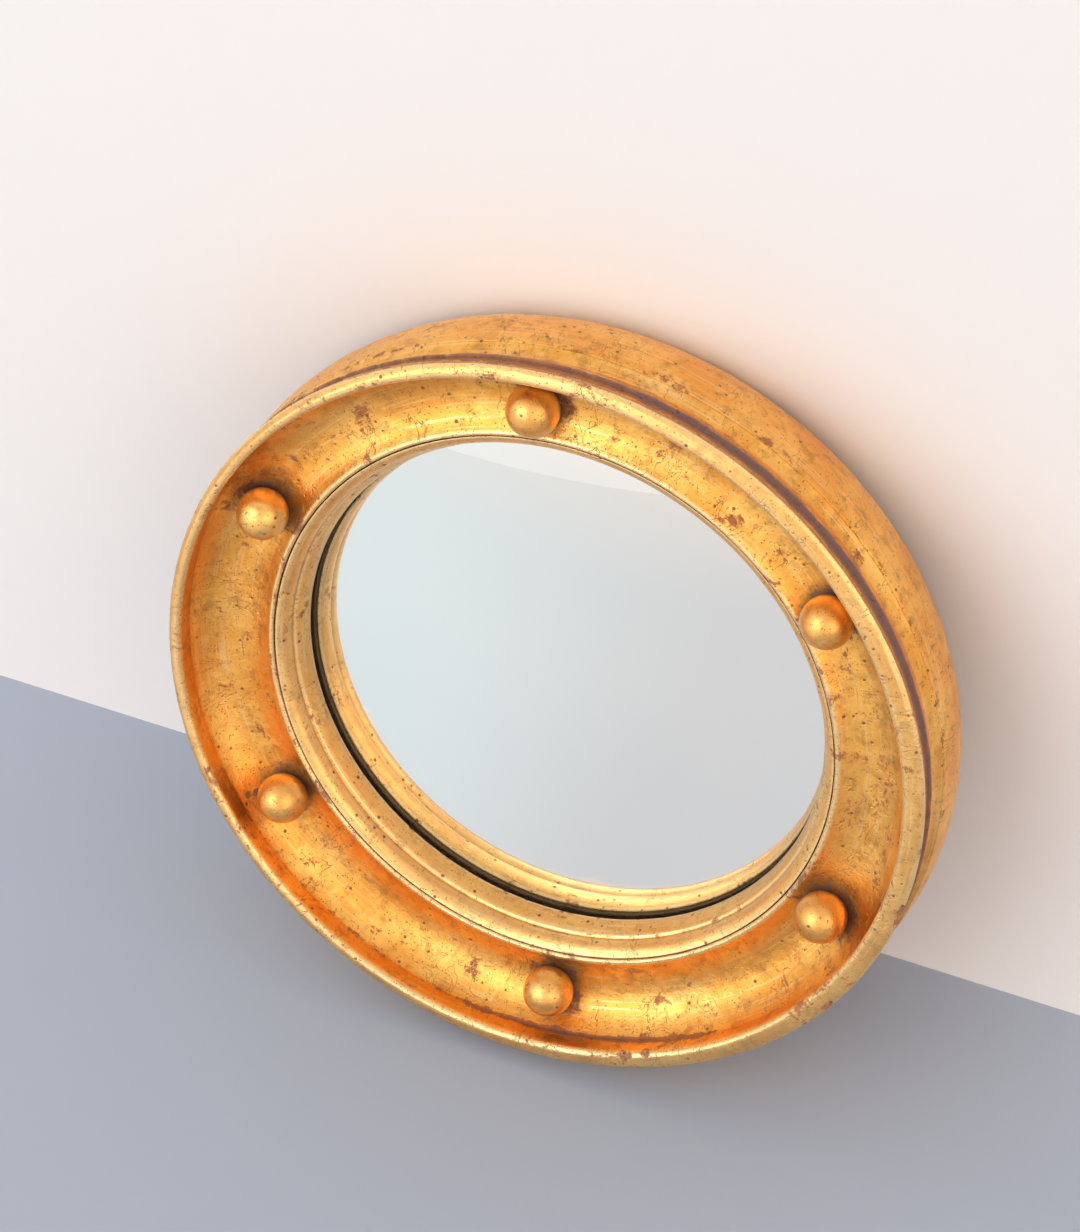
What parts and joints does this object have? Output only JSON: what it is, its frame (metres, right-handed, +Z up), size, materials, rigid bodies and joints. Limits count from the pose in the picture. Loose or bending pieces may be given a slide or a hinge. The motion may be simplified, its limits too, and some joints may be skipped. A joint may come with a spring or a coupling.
{
  "type": "convex wall mirror",
  "caption": "Round convex mirror in a deep gilded frame with a wide cove set with balls, a rounded outer side, a backboard held by turn buttons and a ring to hang it by",
  "frame": {"origin": "centre of the back plane, on the axis of the round frame, where the frame meets the wall", "axes": "+Z is up with one ball at the top, the mirror faces -Y, +Y points into the wall and +X is to the right as seen from the front"},
  "size_m": [0.2222, 0.041, 0.2222],
  "materials": {
    "gilt": "rubbed gold leaf over red bole and gesso on turned wood, satin with worn highlights",
    "gilt_back": "gold leaf outside; bare sealed wood in the recess behind",
    "dowel": "bare beech",
    "glass": "clear, polished, domed",
    "silver": "silvering with grey backing paint",
    "felt": "thin black felt",
    "cork": "cork sheet",
    "board": "brown hardboard, smooth side out",
    "brass": "lacquered sheet brass",
    "steel": "brassed steel, dull"
  },
  "bodies": {
    "frame": {"back_ring": "gilt_back", "backboard": "board", "ball_1": "gilt", "ball_2": "gilt", "ball_3": "gilt", "ball_4": "gilt", "ball_5": "gilt", "ball_6": "gilt", "ball_peg_1": "dowel", "ball_peg_2": "dowel", "ball_peg_3": "dowel", "ball_peg_4": "dowel", "ball_peg_5": "dowel", "ball_peg_6": "dowel", "convex_glass": "glass", "front_moulding": "gilt", "glass_seat_felt": "felt", "hanger_plate": "steel", "hanger_screw_1": "steel", "hanger_screw_2": "steel", "packing_ring": "cork", "sight_slip": "gilt", "silver_coat": "silver", "turn_button_screw_1": "brass", "turn_button_screw_2": "brass", "turn_button_screw_3": "brass", "turn_button_screw_4": "brass"},
    "turn_button_1": {"turn_button_1": "brass"},
    "turn_button_2": {"turn_button_2": "brass"},
    "turn_button_3": {"turn_button_3": "brass"},
    "turn_button_4": {"turn_button_4": "brass"},
    "hanger_ring": {"hanger_ring": "steel"}
  },
  "joints": [
    {"name": "turn_button_1_pivot", "type": "hinge", "parent": "frame", "child": "turn_button_1", "pos_m": [0.06116, -0.0052, 0.06116], "axis": [0, 1, 0], "range_deg": [-118, 118]},
    {"name": "turn_button_2_pivot", "type": "hinge", "parent": "frame", "child": "turn_button_2", "pos_m": [-0.06116, -0.0052, 0.06116], "axis": [0, 1, 0], "range_deg": [-118, 118]},
    {"name": "turn_button_3_pivot", "type": "hinge", "parent": "frame", "child": "turn_button_3", "pos_m": [-0.06116, -0.0052, -0.06116], "axis": [0, 1, 0], "range_deg": [-118, 118]},
    {"name": "turn_button_4_pivot", "type": "hinge", "parent": "frame", "child": "turn_button_4", "pos_m": [0.06116, -0.0052, -0.06116], "axis": [0, 1, 0], "range_deg": [-118, 118]},
    {"name": "hanger_ring_swing", "type": "hinge", "parent": "frame", "child": "hanger_ring", "pos_m": [0, -0.0037, 0.0872], "axis": [1, 0, 0], "range_deg": [-5, 180]}
  ]
}
